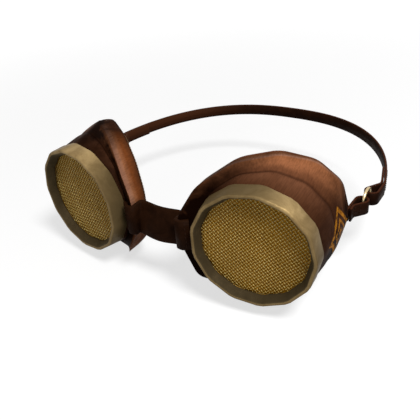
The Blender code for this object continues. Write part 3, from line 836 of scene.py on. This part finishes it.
def build_screen(side, finish):
    """Plain-woven wire cloth set on the diagonal, in a thin rolled rim."""
    which = SIDE_NAMES[side]
    middle = SCREEN_FRONT + SCREEN_THICK / 2
    shape = bmesh.new()
    weave(shape, side, middle)
    rim = [round_lens(side, RIM_RADIUS, 2 * math.pi * k / RIM_STEPS, middle)
           for k in range(RIM_STEPS + 1)]
    tube(shape, rim, SCREEN_THICK / 2, RIM_SIDES, closed_ends=False)
    bmesh.ops.recalc_face_normals(shape, faces=shape.faces)
    piece("woven_screen_" + which, shape, [finish], "lens_pack_" + which, "screen_wire",
          "mesh_screen_" + which)


def build_strip(node, name, body, slot, finish, middle, height):
    """A leather strip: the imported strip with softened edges; U of its map "run" is across it."""
    shape = copied(node)
    layer = shape.loops.layers.uv.new("run")
    for face in shape.faces:
        for corner in face.loops:
            spot = corner.vert.co
            corner[layer].uv = ((spot.z - middle(spot)) / height + 0.5, spot.x)
    made = piece(name, shape, [finish], body, slot, node)
    soften(made, STRIP_EDGE, True)


def strap_middle(spot):
    """The height of the strap's middle line, which rises from the rings to the rear."""
    return STRAP_RISE * max(spot.y - STRAP_EYE_BACK, 0) / (STRAP_REAR - STRAP_EYE_BACK)


def build_ring(side, finish):
    which = SIDE_NAMES[side]
    made = piece("wire_ring_" + which, copied("side_ring_" + which), [finish], "ring_" + which,
                 "brass", "side_ring_" + which)
    subdivide(made, 1)


def build_thread(side, finish):
    """The screw thread round the collar, in the bezel's clearance."""
    points = []
    for k in range(THREAD_POINTS):
        depth = THREAD_START + THREAD_PITCH * k / THREAD_TURN_STEPS
        angle = 2 * math.pi * k / THREAD_TURN_STEPS
        points.append(round_lens(side, THREAD_RADIUS, angle, depth))
    shape = bmesh.new()
    tube(shape, points, THREAD_WIRE, THREAD_WIRE_SIDES)
    bmesh.ops.recalc_face_normals(shape, faces=shape.faces)
    piece("collar_thread_" + SIDE_NAMES[side], shape, [finish], "goggle_frame", "brass")


# ---------------------------------------------------------------- face pads
def puff(made, held):
    """Swells a pad by cloth under pressure; held gives how firmly each point stays where it is."""
    start = [vert.co.copy() for vert in made.data.vertices]
    group = made.vertex_groups.new(name="held")
    for vert, spot in zip(made.data.vertices, start):
        vert.co *= CLOTH_SCALE
        group.add([vert.index], held(spot), "REPLACE")
    cloth = made.modifiers.new("cloth", "CLOTH").settings
    cloth.quality = CLOTH_QUALITY
    cloth.use_pressure = True
    cloth.uniform_pressure_force = CLOTH_PRESSURE
    cloth.effector_weights.gravity = 0
    cloth.vertex_group_mass = "held"
    for step in range(1, CLOTH_FRAMES + 1):
        bpy.context.scene.frame_set(step)
    fixed(made)
    made.vertex_groups.clear()
    bpy.context.scene.frame_set(1)
    for vert, spot in zip(made.data.vertices, start):
        moved = vert.co / CLOTH_SCALE - spot
        vert.co = spot + moved * min(1.0, PAD_MOST_MOVE / max(moved.length, 1e-9))


def swell_pad(made, cup):
    """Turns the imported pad's faces into cloth, held where they lie on the cup, and eases it."""
    surface = tree_of(cup)

    def off(spot):
        return surface.find_nearest(spot)[3]

    def held(spot):
        return 1.0 - min(max((off(spot) - SEWN_NEAR) / SEWN_FADE, 0.0), 1.0)

    subdivide(made, 2, "SIMPLE")
    fixed(made)
    for vert in made.data.vertices:
        vert.co -= vert.normal * PAD_SHRINK * min(off(vert.co) / PAD_SHRINK_FADE, 1.0)
    puff(made, held)
    ease = made.modifiers.new("ease", "SMOOTH")
    ease.factor = PAD_EASE
    ease.iterations = PAD_EASE_TIMES
    fixed(made)


def build_pad(side, finish, twin):
    """A padded rim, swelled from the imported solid; the second is the mirror image of its twin."""
    which = SIDE_NAMES[side]
    made = piece("soft_pad_" + which, copied("face_pad_" + which), [finish], "goggle_frame",
                 "dark_leather", "face_pad_" + which)
    if twin:
        made.data = twin.data.copy()
        made.data.transform(Matrix.Scale(-1, 4, Vector((1, 0, 0))))
        made.data.flip_normals()
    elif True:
        swell_pad(made, nodes["cup_" + which].data)
    made.data.shade_smooth()
    subdivide(made, 1)
    return made


# ---------------------------------------------------------------- stitches
def line(start, end, count):
    return [start.lerp(end, k / count) for k in range(count + 1)]


def sew(name, surface, body, slot, finish, rows, way, length, size=STITCH_RADIUS):
    """A stitch between each two points of each row, laid on the surface that lies that way."""
    surface = tree_of(surface)
    shape = bmesh.new()
    for spots in rows:
        for spot, following in zip(spots, spots[1:]):
            found, normal, _, _ = surface.ray_cast((spot + following) / 2, way)
            if found is None:
                continue
            if normal.dot(way) > 0:
                normal = -normal
            run = following - spot
            run = (run - normal * run.dot(normal)).normalized() * (length / 2)
            flat, proud = run * STITCH_FLAT_SHARE, normal * size * STITCH_PROUD_SHARE
            points = [found - run - normal * size, found - flat + proud,
                      found + flat + proud, found + run - normal * size]
            tube(shape, points, size, STITCH_SIDES)
    bmesh.ops.recalc_face_normals(shape, faces=shape.faces)
    piece(name, shape, [finish], body, slot)


def sew_tab(side, finish):
    """Two short seams that hold the tab to the cup."""
    which = SIDE_NAMES[side]
    across = side * TAB_RAYS_FROM
    rows = [line(Vector((across, back, -TAB_SEAM_HALF)), Vector((across, back, TAB_SEAM_HALF)),
                 TAB_STITCHES) for back in TAB_SEAMS_BACK]
    sew("tab_stitches_" + which, nodes["side_tab_" + which].data, "goggle_frame",
        "strap_leather", finish, rows, Vector((-side, 0, 0)), TAB_STITCH)


def sew_bridge(side, finish):
    """The seam that holds one end of the bridge to the cup."""
    _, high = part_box("bridge")
    across = side * (high[0] - BRIDGE_SEAM_INSET)
    row = line(Vector((across, BRIDGE_RAYS_FROM, BRIDGE_SEAM_BOTTOM)),
               Vector((across, BRIDGE_RAYS_FROM, BRIDGE_SEAM_TOP)), BRIDGE_STITCHES)
    sew("bridge_stitches_" + SIDE_NAMES[side], nodes["bridge"].data, "goggle_frame",
        "dark_leather", finish, [row], Vector((0, 1, 0)), BRIDGE_STITCH)


def sew_strap(side, finish):
    """The seams along both edges of the strap's turned end."""
    rows = []
    for up in STRAP_SEAMS_UP:
        ends = [Vector((side * STRAP_RAYS_FROM, back, 0)) for back in STRAP_SEAM_BACK]
        for end in ends:
            end.z = strap_middle(end) + up
        rows.append(line(*ends, STRAP_STITCHES))
    sew("strap_stitches_" + SIDE_NAMES[side], nodes["strap"].data, "head_strap",
        "strap_leather", finish, rows, Vector((-side, 0, 0)), STRAP_STITCH)


def sew_pad(side, finish, pad):
    """The seam round the pad's face, near its outer edge."""
    spots = [Vector((side * (spot.x + EYE.x), spot.y + EYE.y + PAD_RAYS_FROM, spot.z))
             for spot in rear(PAD_SEAM_INSET)]
    row = []
    for spot, following in zip(spots, spots[1:] + spots[:1]):
        row += [spot, (spot + following) / 2]
    sew("pad_stitches_" + SIDE_NAMES[side], pad.data, "goggle_frame", "dark_leather", finish,
        [row + row[:1]], Vector((0, -1, 0)), PAD_STITCH, PAD_STITCH_RADIUS)


# ---------------------------------------------------------------- the goggles
def dress():
    """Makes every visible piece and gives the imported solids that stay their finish."""
    leather = {1: cup_leather("cup_leather_left", motif=True),
               -1: cup_leather("cup_leather_right", motif=False)}
    dark = strip_leather("bridge_leather", base=(0.0210, 0.0074, 0.0030),
                         edge=(0.022, 0.008, 0.0032), gloss=0.015)
    # The strap's leather takes a painted sheen towards the wearer's right
    brown = strip_leather("strap_leather_dressed", base=(0.0210, 0.0070, 0.0028),
                          edge=(0.075, 0.022, 0.009), gloss=0.020, painted_sheen=0.8)
    pads = pad_leather("pad_leather")
    tan = bezel_metal("bezel_tan", (0.56, 0.39, 0.175), (0.31, 0.205, 0.085), 0.38)
    # A darker copy of the bezel metal for the inner faces: painted shade
    tan_in_painted_shade = bezel_metal("bezel_inside_painted_shade", (0.245, 0.175, 0.085), (0.138, 0.097, 0.046), 0.50)
    gold = brass("ring_brass", (0.64, 0.49, 0.27), 0.30)
    aged = brass("collar_brass", (0.36, 0.25, 0.11), 0.42)
    twine = thread("waxed_thread", (0.030, 0.012, 0.006))
    light_twine = thread("pad_thread", (0.300, 0.165, 0.075))
    wires = wire_metal("woven_wire")
    glass = amber_glass("amber")
    black = rubber("gasket_rubber")
    pad = None
    for side, which in SIDE_NAMES.items():
        build_cup(side, leather[side])
        build_bezel(side, tan, tan_in_painted_shade)
        build_screen(side, wires)
        pad = build_pad(side, pads, pad)
        sew_tab(side, twine)
        sew_bridge(side, twine)
        sew_strap(side, twine)
        sew_pad(side, light_twine, pad)
        build_thread(side, aged)
        build_ring(side, gold)
        build_strip("side_tab_" + which, "folded_tab_" + which, "goggle_frame", "strap_leather",
                    brown, lambda spot: 0, STRIP_HEIGHT)
        nodes["lens_" + which].data.materials[0] = glass
        nodes["lens_gasket_" + which].data.materials[0] = black
        nodes["lens_collar_" + which].data.materials[0] = aged
    build_strip("bridge", "nose_band", "goggle_frame", "dark_leather", dark,
                lambda spot: BRIDGE_MIDDLE, BRIDGE_HEIGHT)
    build_strip("strap", "head_band", "head_strap", "strap_leather", brown,
                strap_middle, STRIP_HEIGHT)


# ---------------------------------------------------------------- floor, light and camera
def seen(tree):
    """A factor of 1 for rays that show a surface to the camera, 0 for those that light it."""
    path = tree.nodes.new("ShaderNodeLightPath")
    total = path.outputs[SEEN_RAYS[0]]
    for kind in SEEN_RAYS[1:]:
        most = tree.nodes.new("ShaderNodeMath")
        most.operation = "MAXIMUM"
        tree.links.new(total, most.inputs[0])
        tree.links.new(path.outputs[kind], most.inputs[1])
        total = most.outputs[0]
    return total


def floor_look():
    """White to the camera, but for a faint shade round the part, and grey to the light."""
    s = Shade("floor")
    s.set(Base_Color=FLOOR_GREY, Roughness=0.9, Specular_IOR_Level=0.1,
          Emission_Color=(1, 1, 1, 1))
    away = s.node("ShaderNodeVectorMath", operation="LENGTH")
    s.link(s.place(), away.inputs[0])
    even = s.node("ShaderNodeMapRange", interpolation_type="SMOOTHSTEP")
    even.inputs["From Max"].default_value = GLOW_REACH
    even.inputs["To Min"].default_value = GLOW_NEAR
    even.inputs["To Max"].default_value = GLOW_FAR
    s.link(away.outputs["Value"], even.inputs["Value"])
    s.link(s.maths("MULTIPLY", seen(s.tree), even.outputs[0]), s.shader.inputs["Emission Strength"])
    return s.made


def set_floor():
    shape = bmesh.new()
    bmesh.ops.create_grid(shape, x_segments=1, y_segments=1, size=FLOOR_HALF)
    mesh = bpy.data.meshes.new("floor")
    shape.to_mesh(mesh)
    shape.free()
    mesh.materials.append(floor_look())
    floor = bpy.data.objects.new("floor", mesh)
    floor.location = (0, 0, cad_box[0][2] - FLOOR_DROP)
    bpy.context.scene.collection.objects.link(floor)


def set_world():
    """A world that is white to see and dim as a light."""
    world = bpy.data.worlds.new("studio")
    bpy.context.scene.world = world
    world.use_nodes = True
    tree = world.node_tree
    back = tree.nodes["Background"]
    back.inputs["Color"].default_value = (1, 1, 1, 1)
    level = tree.nodes.new("ShaderNodeMapRange")
    level.inputs["To Min"].default_value = WORLD_LIGHT
    level.inputs["To Max"].default_value = WORLD_SEEN
    tree.links.new(seen(tree), level.inputs["Value"])
    tree.links.new(level.outputs[0], back.inputs["Strength"])


def set_lamp(name, place, size, watts):
    data = bpy.data.lights.new(name, "AREA")
    data.shape = "DISK"
    data.size = size
    data.energy = watts
    made = bpy.data.objects.new(name, data)
    made.location = place
    made.rotation_euler = (LAMP_AIM - Vector(place)).to_track_quat("-Z", "Y").to_euler()
    bpy.context.scene.collection.objects.link(made)


def set_camera():
    """The photograph's view, fitted to the bezels, cups, bridge and strap."""
    level = Vector((math.sin(CAMERA_AZIMUTH), -math.cos(CAMERA_AZIMUTH), 0))
    back = level * math.cos(CAMERA_ELEVATION) + Vector((0, 0, math.sin(CAMERA_ELEVATION)))
    right = Vector((math.cos(CAMERA_AZIMUTH), math.sin(CAMERA_AZIMUTH), 0))
    up = back.cross(right)
    rolled_right = right * math.cos(CAMERA_ROLL) + up * math.sin(CAMERA_ROLL)
    rolled_up = up * math.cos(CAMERA_ROLL) - right * math.sin(CAMERA_ROLL)
    data = bpy.data.cameras.new("camera")
    data.sensor_width = SENSOR_WIDTH
    data.sensor_fit = "HORIZONTAL"
    data.lens = CAMERA_FOCAL_PIXELS / PICTURE_PIXELS * SENSOR_WIDTH
    data.clip_start = CAMERA_NEAR_CLIP
    made = bpy.data.objects.new("camera", data)
    turn = Matrix((rolled_right, rolled_up, back)).transposed().to_4x4()
    made.matrix_world = Matrix.Translation(CAMERA_PLACE) @ turn
    bpy.context.scene.collection.objects.link(made)
    bpy.context.scene.camera = made


def main():
    bpy.context.scene.view_settings.view_transform = "Standard"
    set_camera()
    dress()
    set_floor()
    set_world()
    for lamp in LAMPS:
        set_lamp(*lamp)


main()
